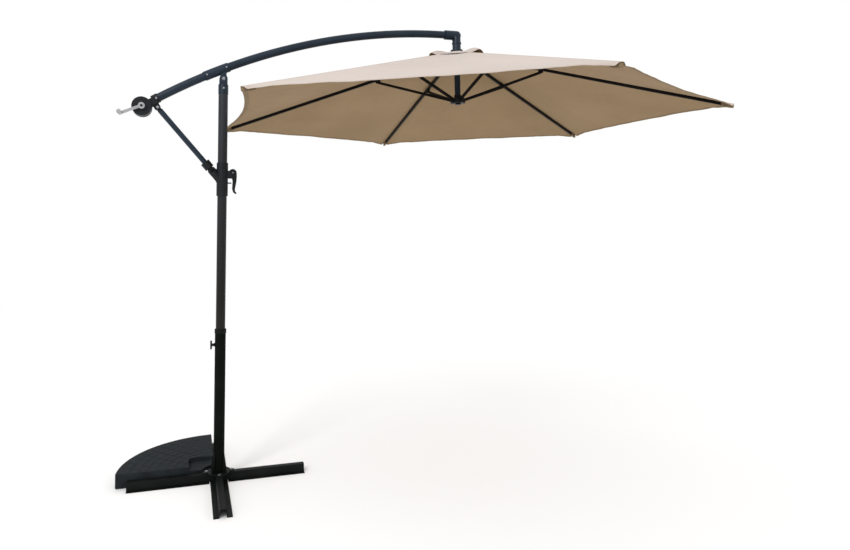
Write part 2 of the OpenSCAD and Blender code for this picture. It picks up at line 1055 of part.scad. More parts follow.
// Points of the cord's line in the arm, of the knee's frame and of the spool, all in the XZ plane.
// The pull keeps the cord below the arm's centre line, clear of the cross bolts.
function arm_point(a) =
    let(inset = cord_inset * min(1, (a - arm_end) / cord_ease), r = bend_r - inset)
    [bend_x - r * sin(a), 0, bend_z + r * cos(a)];
function knee_point(x, z) =
    knee + [x * cos(canopy_tilt) - z * sin(canopy_tilt), 0, x * sin(canopy_tilt) + z * cos(canopy_tilt)];
function spool_point() =
    let(low = arm_point(arm_low), d = winch - low, far = norm(d),
        way = atan2(d[2], d[0]) - asin(spool_pitch / far), lead = sqrt(far * far - spool_pitch * spool_pitch))
    low + lead * [cos(way), 0, sin(way)];

// The cord's whole hidden run: off the spool, up the arm, over the pulley and down to the runner
function cord_route() = concat(
    [spool_point()],
    [for (i = [0 : 30]) arm_point(arm_low + (arm_end - arm_low) * i / 30)],
    [for (i = [0 : 8]) knee_point(pulley_pitch * (sin(i * 11.25) - 1), pulley_pitch * (cos(i * 11.25) - 1))],
    [knee_point(0, -crown_drop - pivot_gap + 2)]);

// Ring of a flat route's tube at point i, square to the route
function cord_ring(route, i) =
    let(ahead = route[min(i + 1, len(route) - 1)], behind = route[max(i - 1, 0)],
        way = (ahead - behind) / norm(ahead - behind))
    [for (s = [0 : cord_sides - 1])
        let(a = s * 360 / cord_sides)
        route[i] + cord_r * [-way[2] * cos(a), sin(a), way[0] * cos(a)]];

module lift_cord() {
    route = cord_route();
    count = len(route);
    n = cord_sides;
    points = [for (i = [0 : count - 1]) each cord_ring(route, i)];
    sides = [for (i = [0 : count - 2], s = [0 : n - 1])
        [i * n + s, i * n + (s + 1) % n, (i + 1) * n + (s + 1) % n, (i + 1) * n + s]];
    start = [for (s = [0 : n - 1]) n - 1 - s];
    end = [for (s = [0 : n - 1]) (count - 1) * n + s];
    color(cord_white)
        polyhedron(points, concat(sides, [start, end]));
}

// ---- Canopy frame ----

module centre_tube() {
    color(arm_grey)
        crown_frame()
            ring(tube_r, tube_r - tube_wall, -pivot_gap + 2, crown_drop - tube_in);
}

// A hub with one slot for each rib or stretcher, and the holes for their pins
module slotted_hub(outer, low, high, slot_in, slot_half) {
    difference() {
        translate([0, 0, low])
            cylinder(r = outer, h = high - low);
        for (k = [1 : 6])
            rotate([0, 0, rib_azimuth(k)]) {
                translate([slot_in, -slot_half, low - 1])
                    cube([40, 2 * slot_half, high - low + 2]);
                translate([hub_r, 0, 0])
                    across(pin_r, hub_pin_len + 1);
            }
    }
}

module hub_pins() {
    for (k = [1 : 6])
        rotate([0, 0, rib_azimuth(k)])
            translate([hub_r, 0, 0])
                across(pin_r, hub_pin_len);
}

module crown_hub() {
    color(plastic_black)
        crown_frame()
            difference() {
                slotted_hub(crown_hub_r, crown_hub_low, crown_hub_high, crown_slot_in, rib_w / 2 + slot_play);
                translate([0, 0, -20])
                    cylinder(r = tube_r, h = 40);
            }
}

module crown_pins() {
    color(steel)
        crown_frame()
            hub_pins();
}

module runner_hub() {
    collar_out = 21;
    collar_top = 32;
    skirt_r = 15;
    skirt_low = -24;
    slot_half = stretcher_w / 2 + slot_play;
    color(plastic_black)
        crown_frame()
            translate([0, 0, -pivot_gap])
                difference() {
                    union() {
                        slotted_hub(runner_hub_r, runner_hub_low, runner_hub_high, runner_slot_in, slot_half);
                        cylinder(r = collar_out, h = collar_top);
                        translate([0, 0, skirt_low])
                            cylinder(r = skirt_r, h = 10);
                    }
                    cylinder(r = tube_r + slot_play, h = 40);
                }
}

module runner_pins() {
    color(steel)
        crown_frame()
            translate([0, 0, -pivot_gap])
                hub_pins();
}

// Rib k: a rectangular tube with a rounded eye and the bracket for its stretcher
module rib(k) {
    eye_long = 24;
    pin_past = 3.5;
    color(plastic_black)
        rib_frame(k)
            rotate([0, rib_slope, 0])
                difference() {
                    union() {
                        across(rib_h / 2, rib_w);
                        translate([0, -rib_w / 2, -rib_h / 2])
                            cube([rib_len, rib_w, rib_h]);
                        for (side = [-1, 1])
                            translate([bracket_at, side * (rib_w + rib_cheek) / 2, 0])
                                bracket_cheek();
                        translate([bracket_at, 0, -bracket_drop])
                            across(pin_r, rib_w + 2 * pin_past);
                    }
                    translate([eye_long, -rib_w / 2 + rib_wall, -rib_h / 2 + rib_wall])
                        cube([rib_len, rib_w - 2 * rib_wall, rib_h - 2 * rib_wall]);
                    across(pin_r + running, 40);
                }
}

module bracket_cheek() {
    half_long = 14;
    round_r = 7;
    translate([-half_long, -rib_cheek / 2, -bracket_drop])
        cube([2 * half_long, rib_cheek, bracket_drop + 6]);
    translate([0, 0, -bracket_drop])
        across(round_r, rib_cheek);
}

module rib_1() { rib(1); }
module rib_2() { rib(2); }
module rib_3() { rib(3); }
module rib_4() { rib(4); }
module rib_5() { rib(5); }
module rib_6() { rib(6); }

// Stretcher k: a channel from rib k's bracket down to the runner
module stretcher(k) {
    rise = asin(pivot_gap / 2 / stretcher_len);
    eye_long = 14;
    channel_wall = 1.5;
    channel_long = stretcher_len - 2 * eye_long;
    color(plastic_black)
        rib_frame(k)
            translate([0, 0, -pivot_gap])
                rotate([0, -rise, 0])
                    difference() {
                        union() {
                            for (x = [0, stretcher_len])
                                translate([x, 0, 0])
                                    across(stretcher_h / 2, stretcher_w);
                            translate([0, -stretcher_w / 2, -stretcher_h / 2])
                                cube([stretcher_len, stretcher_w, stretcher_h]);
                        }
                        translate([eye_long, -stretcher_w / 2 + channel_wall, -stretcher_h / 2 - 1])
                            cube([channel_long, stretcher_w - 2 * channel_wall, stretcher_h - 0.5]);
                        for (x = [0, stretcher_len])
                            translate([x, 0, 0])
                                across(pin_r + running, 40);
                    }
}

module stretcher_1() { stretcher(1); }
module stretcher_2() { stretcher(2); }
module stretcher_3() { stretcher(3); }
module stretcher_4() { stretcher(4); }
module stretcher_5() { stretcher(5); }
module stretcher_6() { stretcher(6); }

// ---- Canopy fabric ----

// Depth of a panel's sag: q runs from the crown to the hem, t from the rib to mid-panel
function sag(q, t) = panel_sag * q * (1.6 - q) / 0.64 * (1 - (1 - t) * (1 - t));

// Distance of row i from the crown along mid-panel, drawn in at the hem
function reach(i, t) =
    let(hem = fabric_out * cos(30) - hem_draw * (1 - (1 - t) * (1 - t)))
    fabric_in + (hem - fabric_in) * i / rows;

// Point (i, j) of a sector centred on its rib; j runs from -cols to cols
function cloth_point(i, j) =
    let(side = j < 0 ? -1 : 1,
        t = abs(j) / cols,
        d = reach(i, t),
        y = -d * tan(30) * (1 - t) - seam_gap * t,
        turned_x = d * cos(30) - y * sin(30),
        turned_y = d * sin(30) + y * cos(30),
        slope_z = -(d / cos(30) - hub_r) * tan(rib_slope))
    [turned_x, side * turned_y, slope_z + fabric_lift / cos(rib_slope) - sag(i / rows, t)];

// A sixth of the canopy, from mid-panel to mid-panel, over rib k
module canopy(k) {
    across_n = 2 * cols + 1;
    low = [for (i = [0 : rows], j = [-cols : cols]) cloth_point(i, j)];
    high = [for (p = low) p + [0, 0, fabric_thick]];
    count = len(low);
    lower_faces = [for (i = [0 : rows - 1], j = [0 : across_n - 2])
        let(a = i * across_n + j)
        each [[a, a + 1, a + across_n], [a + 1, a + across_n + 1, a + across_n]]];
    upper_faces = [for (f = lower_faces) [f[0] + count, f[2] + count, f[1] + count]];
    inner_edge = [for (j = [0 : across_n - 2]) [j, j + 1]];
    outer_edge = [for (j = [0 : across_n - 2]) [rows * across_n + j + 1, rows * across_n + j]];
    left_edge = [for (i = [0 : rows - 1]) [(i + 1) * across_n, i * across_n]];
    right_edge = [for (i = [0 : rows - 1]) [i * across_n + across_n - 1, (i + 2) * across_n - 1]];
    rim = concat(inner_edge, outer_edge, left_edge, right_edge);
    rim_faces = [for (e = rim) each [[e[0], e[0] + count, e[1]], [e[1], e[0] + count, e[1] + count]]];
    color(fabric_beige)
        crown_frame()
            rotate([0, 0, rib_azimuth(k)])
                polyhedron(concat(low, high), concat(lower_faces, upper_faces, rim_faces));
}

module canopy_1() { canopy(1); }
module canopy_2() { canopy(2); }
module canopy_3() { canopy(3); }
module canopy_4() { canopy(4); }
module canopy_5() { canopy(5); }
module canopy_6() { canopy(6); }

base_bar_long();
base_bar_cross();
foot_plate();
base_bolts();
base_nuts();
lower_post();
post_collar();
post_bush();
base_weight();
thumbscrew();
upper_post();
post_head();
head_bolt();
hinge_bolt();
slider_body();
slider_liner();
lever_pin();
lock_lever();
strut_tube();
strut_eye();
strut_socket();
strut_bolt();
slider_pin();
arm_tube();
arm_saddle();
saddle_bolts();
winch_bracket();
bracket_bolt();
winch_cover_near();
winch_cover_far();
elbow();
pulley_pin();
centre_tube();
crown_hub();
crown_pins();
lift_cord();
cord_spool();
crank_arm();
crank_knob();
elbow_pulley();
runner_hub();
runner_pins();
rib_1();
rib_2();
rib_3();
rib_4();
rib_5();
rib_6();
stretcher_1();
stretcher_2();
stretcher_3();
stretcher_4();
stretcher_5();
stretcher_6();
canopy_1();
canopy_2();
canopy_3();
canopy_4();
canopy_5();
canopy_6();
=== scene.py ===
"""Looks of a cantilever parasol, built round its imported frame.

The metal and plastic parts keep their CAD shapes and get finished materials. The canopy's
plain solids are replaced by cloth: six sectors, each on its own rib, with hems, seams,
stitches, corner pockets and a vent cap. The cloth is shaped by formula, not simulated.
"""
import json
import math

import bmesh
import bpy
from mathutils import Matrix, Vector, noise


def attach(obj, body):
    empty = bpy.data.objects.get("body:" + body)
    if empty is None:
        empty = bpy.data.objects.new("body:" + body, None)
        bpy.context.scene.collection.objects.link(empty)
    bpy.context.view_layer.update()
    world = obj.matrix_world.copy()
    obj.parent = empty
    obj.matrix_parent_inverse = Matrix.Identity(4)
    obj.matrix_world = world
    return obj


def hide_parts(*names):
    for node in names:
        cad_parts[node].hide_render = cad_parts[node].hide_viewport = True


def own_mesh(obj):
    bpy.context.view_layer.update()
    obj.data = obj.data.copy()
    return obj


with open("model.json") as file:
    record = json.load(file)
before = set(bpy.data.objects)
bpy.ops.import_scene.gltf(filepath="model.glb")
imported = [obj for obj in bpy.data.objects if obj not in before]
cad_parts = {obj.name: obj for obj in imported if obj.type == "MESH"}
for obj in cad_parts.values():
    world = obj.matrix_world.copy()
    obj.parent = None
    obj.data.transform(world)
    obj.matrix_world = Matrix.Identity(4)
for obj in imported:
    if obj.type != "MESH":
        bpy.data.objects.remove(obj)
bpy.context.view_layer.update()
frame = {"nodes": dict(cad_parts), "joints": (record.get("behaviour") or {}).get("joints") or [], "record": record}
JOINTS = {joint["name"]: joint for joint in frame["joints"]}
RIBS = range(1, 7)
SIXTH = math.radians(30)

# ---- Camera, light and floor ----

CAMERA_PLACE = Vector((-0.1706, -3.4532, 1.4066))
CAMERA_YAW = -0.3290
CAMERA_PITCH = -0.0167
CAMERA_ROLL = 0.0168
CAMERA_LENS = 27.04
CAMERA_SHIFT = (0.0235, -0.0588)


def add_camera():
    data = bpy.data.cameras.new("camera")
    data.lens = CAMERA_LENS
    data.sensor_width = 36
    data.shift_x, data.shift_y = CAMERA_SHIFT
    camera = bpy.data.objects.new("camera", data)
    bpy.context.scene.collection.objects.link(camera)
    flat = math.cos(CAMERA_PITCH)
    ahead = Vector((-math.sin(CAMERA_YAW) * flat, math.cos(CAMERA_YAW) * flat, math.sin(CAMERA_PITCH)))
    right = Vector((math.cos(CAMERA_YAW), math.sin(CAMERA_YAW), 0))
    above = right.cross(ahead)
    rolled_right = right * math.cos(CAMERA_ROLL) + above * math.sin(CAMERA_ROLL)
    rolled_above = above * math.cos(CAMERA_ROLL) - right * math.sin(CAMERA_ROLL)
    turn = Matrix((rolled_right, rolled_above, -ahead)).transposed()
    camera.matrix_world = Matrix.Translation(CAMERA_PLACE) @ turn.to_4x4()
    bpy.context.scene.camera = camera


def add_area(name, place, target, size, power):
    data = bpy.data.lights.new(name, "AREA")
    data.shape = "RECTANGLE"
    data.size, data.size_y = size
    data.energy = power
    light = bpy.data.objects.new(name, data)
    bpy.context.scene.collection.objects.link(light)
    light.location = place
    light.rotation_euler = (Vector(target) - Vector(place)).to_track_quat("-Z", "Y").to_euler()


FLOOR_HALF = 60
FADE_FROM, FADE_TO = 2.5, 7.0


def floor_paint():
    """White paint that turns into the backdrop's own white away from the object."""
    material = bpy.data.materials.new("floor_white")
    material.use_nodes = True
    tree = material.node_tree
    paint = tree.nodes["Principled BSDF"]
    paint.inputs["Base Color"].default_value = (0.93, 0.93, 0.93, 1)
    paint.inputs["Roughness"].default_value = 1.0
    paint.inputs["Specular IOR Level"].default_value = 0.0
    glow = tree.nodes.new("ShaderNodeEmission")
    place = tree.nodes.new("ShaderNodeTexCoord")
    distance = tree.nodes.new("ShaderNodeVectorMath")
    distance.operation = "LENGTH"
    fade = tree.nodes.new("ShaderNodeMapRange")
    fade.inputs["From Min"].default_value = FADE_FROM
    fade.inputs["From Max"].default_value = FADE_TO
    both = tree.nodes.new("ShaderNodeMixShader")
    tree.links.new(place.outputs["Object"], distance.inputs[0])
    tree.links.new(distance.outputs["Value"], fade.inputs["Value"])
    tree.links.new(fade.outputs["Result"], both.inputs["Fac"])
    tree.links.new(paint.outputs["BSDF"], both.inputs[1])
    tree.links.new(glow.outputs["Emission"], both.inputs[2])
    tree.links.new(both.outputs["Shader"], tree.nodes["Material Output"].inputs["Surface"])
    return material


def add_studio():
    world = bpy.data.worlds.new("studio")
    world.use_nodes = True
    background = world.node_tree.nodes["Background"]
    background.inputs["Color"].default_value = (1, 1, 1, 1)
    background.inputs["Strength"].default_value = 1.0
    bpy.context.scene.world = world
    bpy.context.scene.view_settings.view_transform = "Standard"
    add_area("key", (-3.0, -3.6, 4.6), (0.6, 0, 1.8), (1.6, 1.6), 150)
    add_area("rim", (4.5, 2.5, 4.5), (0.8, 0, 1.8), (3, 3), 40)
    mesh = bpy.data.meshes.new("floor")
    far = FLOOR_HALF
    mesh.from_pydata([(-far, -far, 0), (far, -far, 0), (far, far, 0), (-far, far, 0)], [], [(0, 1, 2, 3)])
    floor = bpy.data.objects.new("floor", mesh)
    bpy.context.scene.collection.objects.link(floor)
    mesh.materials.append(floor_paint())


# ---- Materials ----


def start_material(name, **fixed):
    """A Principled material with constant sockets set, and its node tree and shader."""
    material = bpy.data.materials.new(name)
    material.use_nodes = True
    shader = material.node_tree.nodes["Principled BSDF"]
    for socket, value in fixed.items():
        shader.inputs[socket.replace("_", " ")].default_value = value
    return material, material.node_tree, shader


def coordinates(tree, kind="Object", scale=(1, 1, 1)):
    source = tree.nodes.new("ShaderNodeTexCoord")
    mapping = tree.nodes.new("ShaderNodeMapping")
    mapping.inputs["Scale"].default_value = scale
    tree.links.new(source.outputs[kind], mapping.inputs["Vector"])
    return mapping.outputs["Vector"]


def add_noise(tree, vector, scale, detail=4.0):
    texture = tree.nodes.new("ShaderNodeTexNoise")
    texture.inputs["Scale"].default_value = scale
    texture.inputs["Detail"].default_value = detail
    tree.links.new(vector, texture.inputs["Vector"])
    return texture.outputs["Fac"]


def add_bands(tree, vector, direction, scale):
    texture = tree.nodes.new("ShaderNodeTexWave")
    texture.bands_direction = direction
    texture.inputs["Scale"].default_value = scale
    tree.links.new(vector, texture.inputs["Vector"])
    return texture.outputs["Fac"]


def add_range(tree, value, low, high, to_low=0.0, to_high=1.0):
    node = tree.nodes.new("ShaderNodeMapRange")
    for socket, number in zip(("From Min", "From Max", "To Min", "To Max"), (low, high, to_low, to_high)):
        node.inputs[socket].default_value = number
    tree.links.new(value, node.inputs["Value"])
    return node.outputs["Result"]


def add_mix(tree, factor, first, second):
    """Colour between two; each is an RGB tuple or another node's output."""
    node = tree.nodes.new("ShaderNodeMix")
    node.data_type = "RGBA"
    tree.links.new(factor, node.inputs["Factor"])
    for socket, colour in ((node.inputs[6], first), (node.inputs[7], second)):
        if isinstance(colour, tuple):
            socket.default_value = (*colour, 1)
        else:
            tree.links.new(colour, socket)
    return node.outputs[2]


def add_math(tree, kind, first, second):
    node = tree.nodes.new("ShaderNodeMath")
    node.operation = kind
    for socket, value in zip(node.inputs, (first, second)):
        if isinstance(value, (int, float)):
            socket.default_value = value
        else:
            tree.links.new(value, socket)
    return node.outputs[0]


def add_bump(tree, height, strength, distance, before=None):
    node = tree.nodes.new("ShaderNodeBump")
    node.inputs["Strength"].default_value = strength
    node.inputs["Distance"].default_value = distance
    tree.links.new(height, node.inputs["Height"])
    if before is not None:
        tree.links.new(before, node.inputs["Normal"])
    return node.outputs["Normal"]


UPPER_TONE_LOW, UPPER_TONE_HIGH = 1.0, 2.0


def powder_coat(name, colour, roughness, upper_tone=None, gloss=0.2, coat=0.0):
    """Sprayed paint on metal: orange peel, faint dust, and a paler tone higher up."""
    material, tree, shader = start_material(
        name, Metallic=0.0, Specular_IOR_Level=gloss, Coat_Weight=coat, Coat_Roughness=0.3
    )
    place = coordinates(tree)
    base = colour
    # The colour turns paler higher up, blended in between two heights.
    if upper_tone:
        split = tree.nodes.new("ShaderNodeSeparateXYZ")
        tree.links.new(place, split.inputs["Vector"])
        base = add_mix(tree, add_range(tree, split.outputs["Z"], UPPER_TONE_LOW, UPPER_TONE_HIGH), colour, upper_tone)
    dust = add_range(tree, add_noise(tree, place, 7, 6), 0.42, 0.72, 0, 0.6)
    pale = tuple(min(1.0, c * 1.5 + 0.006) for c in colour)
    tree.links.new(add_mix(tree, dust, base, pale), shader.inputs["Base Color"])
    tree.links.new(add_range(tree, dust, 0, 0.6, roughness, roughness + 0.12), shader.inputs["Roughness"])
    peel = add_noise(tree, place, 900, 2)
    tree.links.new(add_bump(tree, peel, 0.25, 0.0004), shader.inputs["Normal"])
    return material


def moulded_plastic(name, colour, roughness):
    """Moulded nylon: a fine spark-eroded grain with worn, shinier patches."""
    material, tree, shader = start_material(name, Specular_IOR_Level=0.18)
    place = coordinates(tree)
    wear_and_crease_shade = add_range(tree, add_noise(tree, place, 16, 5), 0.45, 0.75)
    grain = add_noise(tree, place, 1500, 3)
    pale = tuple(c * 1.35 + 0.003 for c in colour)
    tree.links.new(add_mix(tree, wear_and_crease_shade, colour, pale), shader.inputs["Base Color"])
    gloss = add_range(tree, wear_and_crease_shade, 0, 1, roughness, roughness - 0.12)
    tree.links.new(gloss, shader.inputs["Roughness"])
    tree.links.new(add_bump(tree, grain, 0.35, 0.0003), shader.inputs["Normal"])
    return material


def bright_metal(name, colour, roughness):
    """Turned or brushed metal: fine scratches along X and a little tarnish."""
    material, tree, shader = start_material(name, Metallic=1.0)
    scratches = add_noise(tree, coordinates(tree, scale=(40, 900, 900)), 1, 3)
    tarnish = add_range(tree, add_noise(tree, coordinates(tree), 60, 4), 0.4, 0.75)
    dull = tuple(c * 0.72 for c in colour)
    tree.links.new(add_mix(tree, tarnish, colour, dull), shader.inputs["Base Color"])
    gloss = add_range(tree, scratches, 0.3, 0.7, roughness - 0.06, roughness + 0.12)
    tree.links.new(gloss, shader.inputs["Roughness"])
    tree.links.new(add_bump(tree, scratches, 0.12, 0.0002), shader.inputs["Normal"])
    return material


def cast_weight(name, colour):
    """Painted concrete: pores darkened with painted shade, a sandy grain, and paler rubbed patches."""
    material, tree, shader = start_material(name, Specular_IOR_Level=0.12)
    place = coordinates(tree)
    blotch = add_range(tree, add_noise(tree, place, 9, 6), 0.38, 0.7)
    sand = add_noise(tree, place, 420, 4)
    pores = add_range(tree, add_noise(tree, place, 130, 2), 0.28, 0.36)
    pale = tuple(c * 1.55 + 0.004 for c in colour)
    patchy = add_mix(tree, blotch, colour, pale)
    # Painted shade in the pores: half the colour.
    pore_shade = tuple(c * 0.5 for c in colour)
    tree.links.new(add_mix(tree, pores, pore_shade, patchy), shader.inputs["Base Color"])
    tree.links.new(add_range(tree, blotch, 0, 1, 0.72, 0.88), shader.inputs["Roughness"])
    rough = add_bump(tree, sand, 0.5, 0.0012)
    tree.links.new(add_bump(tree, pores, 0.5, 0.001, rough), shader.inputs["Normal"])
    return material


# Scale of the wave texture that draws the weave, which puts its threads 4.1 mm apart
WEAVE_SCALE = 76.3966
CREASE_STEP = 0.105
# A crease is drawn where the cosine across it passes this
CREASE_NARROW = 0.9
# Creases begin clear of the seam, and fade out from one distance from the rib to another
CREASE_START, CREASE_FULL = 0.03, 0.06
CREASE_FADE, CREASE_END = 0.2, 0.42


def add_creases(tree):
    """Ridges left by packing, parallel to the ribs and fading towards mid-panel."""
    layer = tree.nodes.new("ShaderNodeUVMap")
    layer.uv_map = "from_rib"
    split = tree.nodes.new("ShaderNodeSeparateXYZ")
    tree.links.new(layer.outputs["UV"], split.inputs["Vector"])
    away, strength = split.outputs["X"], split.outputs["Y"]
    turn = add_math(tree, "MULTIPLY", away, 2 * math.pi / CREASE_STEP)
    ridge = add_range(tree, add_math(tree, "COSINE", turn, 0.0), CREASE_NARROW, 1.0)
    near = add_range(tree, away, CREASE_END, CREASE_FADE)
    clear = add_range(tree, away, CREASE_START, CREASE_FULL)
    placed = add_math(tree, "MULTIPLY", near, clear)
    return add_math(tree, "MULTIPLY", ridge, add_math(tree, "MULTIPLY", placed, strength))


def woven_cloth(name, colour, shade, sheen=0.2, creased=0.0):
    """Plain-woven polyester: crossing threads, slubs, slow changes of tone, and packing creases, darkened along
    their ridges with painted shade.
    """
    material, tree, shader = start_material(
        name, Roughness=0.9, Sheen_Weight=sheen, Sheen_Roughness=0.45, Specular_IOR_Level=0.08
    )
    threads = coordinates(tree, "UV")
    warp = add_bands(tree, threads, "X", WEAVE_SCALE)
    weft = add_bands(tree, threads, "Y", WEAVE_SCALE)
    weave = add_math(tree, "MAXIMUM", warp, weft)
    slub = add_noise(tree, coordinates(tree, "UV", (220, 12, 1)), 1, 3)
    tone = add_noise(tree, coordinates(tree), 2.2, 4)
    tinted = add_mix(tree, add_range(tree, tone, 0.35, 0.68), colour, shade)
    woven = add_mix(tree, add_range(tree, slub, 0.5, 0.9, 0, 0.35), tinted, shade)
    rise = add_bump(tree, weave, 0.22, 0.0003)
    if creased:
        crease = add_creases(tree)
        # Along each crease the colour is darkened: painted shade.
        wear_and_crease_shade = tuple(c * 0.86 for c in shade)
        woven = add_mix(tree, add_math(tree, "MULTIPLY", crease, 0.6 * creased), woven, wear_and_crease_shade)
        rise = add_bump(tree, crease, 0.5 * creased, 0.002, rise)
    tree.links.new(woven, shader.inputs["Base Color"])
    tree.links.new(add_bump(tree, slub, 0.15, 0.0004, rise), shader.inputs["Normal"])
    return material


MATERIALS = {
    "post_coat": powder_coat("post_coat", (0.003, 0.004, 0.0035), 0.5, gloss=0.1),
    "arm_coat": powder_coat("arm_coat", (0.006, 0.014, 0.026), 0.34, gloss=0.22, coat=0.06),
    "black_plastic": moulded_plastic("black_plastic", (0.006, 0.007, 0.009), 0.5),
    "rib_coat": powder_coat("rib_coat", (0.005, 0.004, 0.0035), 0.55, gloss=0.1),
    "crank_metal": bright_metal("crank_metal", (0.40, 0.40, 0.41), 0.34),
    "fastener_steel": bright_metal("fastener_steel", (0.34, 0.35, 0.37), 0.36),
    "weight_concrete": cast_weight("weight_concrete", (0.010, 0.013, 0.015)),
    "cord": woven_cloth("cord", (0.75, 0.72, 0.66), (0.6, 0.57, 0.5)),
}
CLOTH_TOP = woven_cloth("cloth_top", (0.515, 0.44, 0.395), (0.478, 0.408, 0.362), sheen=0.2, creased=0.4)
# The under side is the same fabric as the top; its deeper, more saturated brown is painted shade.
CLOTH_UNDER_SHADED = woven_cloth(
    "cloth_under_shaded", (0.300, 0.208, 0.118), (0.262, 0.180, 0.100), sheen=0.02, creased=1
)
# The hem's folded under face, darker than the cloth's under side: painted shade.
HEM_UNDER_SHADED = woven_cloth("hem_under_shaded", (0.235, 0.165, 0.094), (0.205, 0.142, 0.08), sheen=0.02)
# The pockets are of the canopy's fabric; their deep brown, a little darker than the under side's, is painted
# shade.
POUCH_SHADED = woven_cloth("pouch_shaded", (0.215, 0.158, 0.094), (0.185, 0.134, 0.079), sheen=0.03)
INNER_POST = powder_coat("inner_post", (0.004, 0.003, 0.0025), 0.4, upper_tone=(0.021, 0.023, 0.030), gloss=0.22)
LOWER_POST = powder_coat("lower_post", (0.002, 0.003, 0.002), 0.5, gloss=0.04)
OWN_MATERIAL = {"upper_post": INNER_POST, "lower_post": LOWER_POST}
THREAD = woven_cloth("thread", (0.38, 0.30, 0.20), (0.34, 0.265, 0.175), sheen=0.05)


def finish_cad_nodes():
    """Every node of the frame that stays in view takes its slot's finished material."""
    slots = {part["node"]: part["material_slot"] for part in frame["record"]["subparts"]}
    for name, node in frame["nodes"].items():
        if slots[name] not in MATERIALS:
            continue
        node.data.materials.clear()
        node.data.materials.append(OWN_MATERIAL.get(name, MATERIALS[slots[name]]))


# ---- The canopy's own frame, read from the rib joints and the rib solids ----

PINS = [Vector(JOINTS[f"rib_{k}_fold"]["pos_m"]) for k in RIBS]
CROWN = sum(PINS, Vector()) / len(PINS)
OUTWARD = [(pin - CROWN).normalized() for pin in PINS]
AXES = [Vector(JOINTS[f"rib_{k}_fold"]["axis"]) for k in RIBS]
UP = OUTWARD[0].cross(AXES[0]).normalized()
HUB_R = (PINS[0] - CROWN).length


RIB_TIP = 0.012


def rib_end():
    """Length and slope of rib 1, from the middle of its far end."""
    points = [v.co - PINS[0] for v in frame["nodes"]["rib_1"].data.vertices]
    reach = max(p.dot(OUTWARD[0]) for p in points)
    ends = [p for p in points if p.dot(OUTWARD[0]) > reach - RIB_TIP]
    low = min(p.dot(UP) for p in ends)
    high = max(p.dot(UP) for p in ends)
    middle = Vector((reach, (low + high) / 2))
    return middle.length, math.atan2(-middle.y, middle.x)


RIB_LEN, RIB_SLOPE = rib_end()
RIB_HALF_HEIGHT = 0.008
RIB_HALF_WIDTH = 0.006
CLOTH_GAP = 0.0016
CLOTH_LIFT = RIB_HALF_HEIGHT + CLOTH_GAP
CLOTH_THICK = 0.0009
CLOTH_IN = 0.026
CLOTH_PAST_RIB = 0.0076
CLOTH_OUT = HUB_R + RIB_LEN * math.cos(RIB_SLOPE) + CLOTH_PAST_RIB
# How far each panel's hem is drawn in, from the one between ribs 1 and 2 round to 6 and 1
HEM_DRAW = (0.045, 0.037, 0.052, 0.045, 0.045, 0.065)
# Depth of the sag at mid-panel, which is greatest 0.8 of the way from crown to hem
PANEL_SAG = 0.015
# How strongly each panel shows its packing creases, as bumps and as painted shade along them
CREASED = (0.0, 0.0, 0.12, 0.1, 0.12, 1.0)
# The cloth drops over the pocket at each corner, from beside the rib out to where it runs level again
CORNER_WRAP = 0.011
CORNER_LONG = 0.08
WRAP_FROM, WRAP_RAMP = 0.011, 0.012
WRAP_TO, WRAP_FADE = 0.11, 0.08
# Slack ripples over the panels, and finer pull marks towards the corners
RIPPLE, RIPPLE_PITCH = 0.0035, 11
PULL, PULL_PITCH = 0.0042, 34


def clamp(value):
    return max(0.0, min(1.0, value))


def bow(t):
    """0 on the rib, 1 at mid-panel, flat there."""
    return 1 - (1 - t) ** 2


def panel_of(k, s):
    """Index of the panel on that side of rib k."""
    return k - 1 if s > 0 else (k - 2) % 6


def cloth_point(k, q, s, lift=0.0):
    """A point of the cloth over rib k: q runs from crown to hem, s from mid-panel to mid-panel."""
    t = abs(s)
    hem = CLOTH_OUT * math.cos(SIXTH) - HEM_DRAW[panel_of(k, s)] * bow(t)
    d = CLOTH_IN + (hem - CLOTH_IN) * q
    along = -d * math.tan(SIXTH) * (1 - t)
    x = d * math.cos(SIXTH) - along * math.sin(SIXTH)
    y = math.copysign(d * math.sin(SIXTH) + along * math.cos(SIXTH), s)
    if s == 0:
        y = 0
    fall = (d / math.cos(SIXTH) - HUB_R) * math.tan(RIB_SLOPE)
    sag = PANEL_SAG * q * (1.6 - q) / 0.64 * bow(t)
    z = CLOTH_LIFT / math.cos(RIB_SLOPE) - fall - sag
    point = CROWN + OUTWARD[k - 1] * x + AXES[k - 1] * y + UP * z
    from_tip = (1 - q) * CLOTH_OUT
    if from_tip < CORNER_LONG:
        shoulder = clamp((abs(y) - WRAP_FROM) / WRAP_RAMP) * clamp((WRAP_TO - abs(y)) / WRAP_FADE)
        point -= UP * CORNER_WRAP * shoulder * math.cos(math.pi / 2 * from_tip / CORNER_LONG) ** 2
    around = (point - CROWN).normalized()
    ripple = noise.noise(Vector((around.x * RIPPLE_PITCH, around.y * RIPPLE_PITCH, q * 1.4)))
    pull = noise.noise(Vector((around.x * PULL_PITCH + 5, around.y * PULL_PITCH, q * 2.1)))
    slack = bow(t) * min(1.0, q * 1.6)
    corner = (1 - t) ** 2 * q ** 3 * min(1.0, t * 8)
    return point + UP * (lift + RIPPLE * ripple * slack + PULL * pull * corner)


def cloth_uv(q, s):
    """Metres across and along the panel that the point lies in, the same from both of its ribs."""
    t = abs(s)
    d = CLOTH_IN + (CLOTH_OUT * math.cos(SIXTH) - CLOTH_IN) * q
    return (-math.copysign(d * math.tan(SIXTH) * (1 - t), s), d)


